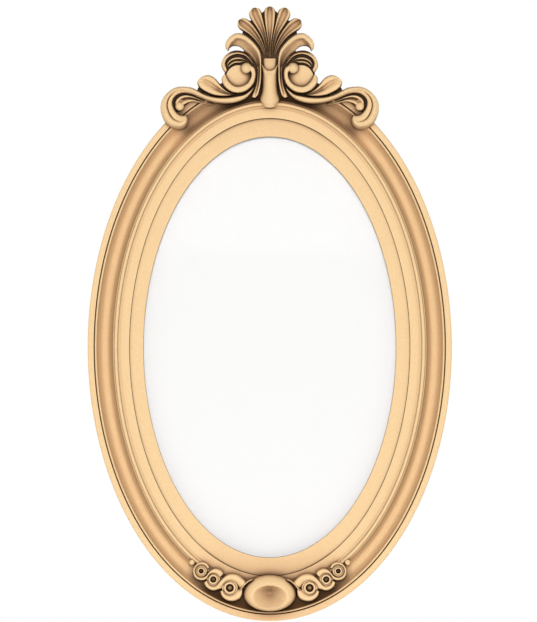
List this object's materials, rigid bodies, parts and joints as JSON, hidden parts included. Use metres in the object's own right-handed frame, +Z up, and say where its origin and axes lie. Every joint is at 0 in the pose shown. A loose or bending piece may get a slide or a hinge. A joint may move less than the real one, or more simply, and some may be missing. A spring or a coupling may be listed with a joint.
{
  "type": "oval picture frame",
  "caption": "Oval wooden picture frame: coved moulding, shell and scroll crest, dished cabochon between wave scrolls, glass, card and board held by turn buttons, hung from a ring.",
  "frame": {"origin": "middle of the hanging ring's eye at the top of the back", "axes": "+Z up along the oval's long axis, +X to the viewer's right, the front faces -Y and the wall is at +Y"},
  "size_m": [0.3644, 0.038, 0.6132],
  "materials": {
    "carved_wood": "satin, tan with a brown glaze in the hollows",
    "slip_wood": "satin tan",
    "ground_wood": "bare, lightly sealed",
    "dowel_wood": "bare beech",
    "clear_glass": "clear float glass",
    "white_card": "matt white card",
    "brown_board": "smooth brown hardboard",
    "zinc_steel": "zinc plated",
    "brass_screw": "brass plated",
    "black_rubber": "matt"
  },
  "bodies": {
    "frame": {"backing_board": "brown_board", "cabochon": "carved_wood", "crest_dowels": "dowel_wood", "crest_plate": "ground_wood", "glass": "clear_glass", "hanger_screws": "brass_screw", "hanger_strap": "zinc_steel", "husk": "carved_wood", "left_acanthus_leaf": "carved_wood", "left_c_scroll": "carved_wood", "left_hook_leaf": "carved_wood", "left_inner_curl": "carved_wood", "left_large_wave": "carved_wood", "left_outer_curl": "carved_wood", "left_s_scroll": "carved_wood", "left_side_leaf": "carved_wood", "left_side_plate": "ground_wood", "left_small_wave": "carved_wood", "left_stem": "carved_wood", "left_wave_eyes": "carved_wood", "left_wave_lobe": "carved_wood", "left_wave_ribbon": "carved_wood", "pearls": "carved_wood", "picture_card": "white_card", "right_acanthus_leaf": "carved_wood", "right_c_scroll": "carved_wood", "right_hook_leaf": "carved_wood", "right_inner_curl": "carved_wood", "right_large_wave": "carved_wood", "right_outer_curl": "carved_wood", "right_s_scroll": "carved_wood", "right_side_leaf": "carved_wood", "right_side_plate": "ground_wood", "right_small_wave": "carved_wood", "right_stem": "carved_wood", "right_wave_eyes": "carved_wood", "right_wave_lobe": "carved_wood", "right_wave_ribbon": "carved_wood", "ring_bottom": "carved_wood", "ring_dowels": "dowel_wood", "ring_left": "carved_wood", "ring_right": "carved_wood", "ring_top": "carved_wood", "shell": "carved_wood", "shell_neck": "carved_wood", "sight_slip": "slip_wood", "turn_button_screws": "brass_screw", "wall_pads": "black_rubber"},
    "turn_button_1_body": {"turn_button_1": "zinc_steel"},
    "turn_button_2_body": {"turn_button_2": "zinc_steel"},
    "turn_button_3_body": {"turn_button_3": "zinc_steel"},
    "turn_button_4_body": {"turn_button_4": "zinc_steel"},
    "turn_button_5_body": {"turn_button_5": "zinc_steel"},
    "turn_button_6_body": {"turn_button_6": "zinc_steel"},
    "hanger_ring_body": {"hanger_ring": "zinc_steel"}
  },
  "joints": [
    {"name": "turn_button_1_pivot", "type": "hinge", "parent": "frame", "child": "turn_button_1_body", "pos_m": [0.16, -0.00194, -0.265], "axis": [0, 1, 0], "continuous": true},
    {"name": "turn_button_2_pivot", "type": "hinge", "parent": "frame", "child": "turn_button_2_body", "pos_m": [0.08714, -0.00194, -0.05525], "axis": [0, 1, 0], "continuous": true},
    {"name": "turn_button_3_pivot", "type": "hinge", "parent": "frame", "child": "turn_button_3_body", "pos_m": [-0.08714, -0.00194, -0.05525], "axis": [0, 1, 0], "continuous": true},
    {"name": "turn_button_4_pivot", "type": "hinge", "parent": "frame", "child": "turn_button_4_body", "pos_m": [-0.16, -0.00194, -0.265], "axis": [0, 1, 0], "continuous": true},
    {"name": "turn_button_5_pivot", "type": "hinge", "parent": "frame", "child": "turn_button_5_body", "pos_m": [-0.08714, -0.00194, -0.47474], "axis": [0, 1, 0], "continuous": true},
    {"name": "turn_button_6_pivot", "type": "hinge", "parent": "frame", "child": "turn_button_6_body", "pos_m": [0.08714, -0.00194, -0.47474], "axis": [0, 1, 0], "continuous": true},
    {"name": "hanger_ring_swing", "type": "hinge", "parent": "frame", "child": "hanger_ring_body", "pos_m": [0, 0, 0.006], "axis": [1, 0, 0], "range_deg": [0, 170]}
  ]
}
